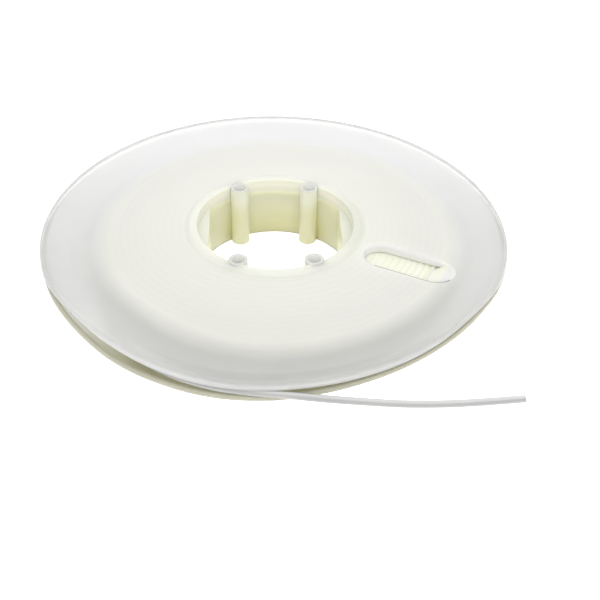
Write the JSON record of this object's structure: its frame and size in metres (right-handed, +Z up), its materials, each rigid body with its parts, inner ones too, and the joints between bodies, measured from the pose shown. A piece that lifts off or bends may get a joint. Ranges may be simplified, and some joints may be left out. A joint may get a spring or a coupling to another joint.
{
  "type": "string reel",
  "caption": "Flat round string reel: thin translucent flanges round an open keyed hub, holding wound racket string whose free end leaves between the rims.",
  "frame": {"origin": "on the reel's axis, at the lower end of the hub, which is what the reel stands on", "axes": "+Z up along the reel's axis towards the nearly flat flange with the window; the free string leaves the rims at the front, over -Y, and runs towards +X"},
  "size_m": [0.094, 0.0973, 0.0136],
  "materials": {
    "flange": "satin, milky and translucent",
    "string": "glossy, slightly clear"
  },
  "bodies": {
    "root": {"top_flange": "flange", "hub_flange": "flange", "wound_core": "string", "string_winding": "string", "string_tail": "string"}
  },
  "joints": []
}
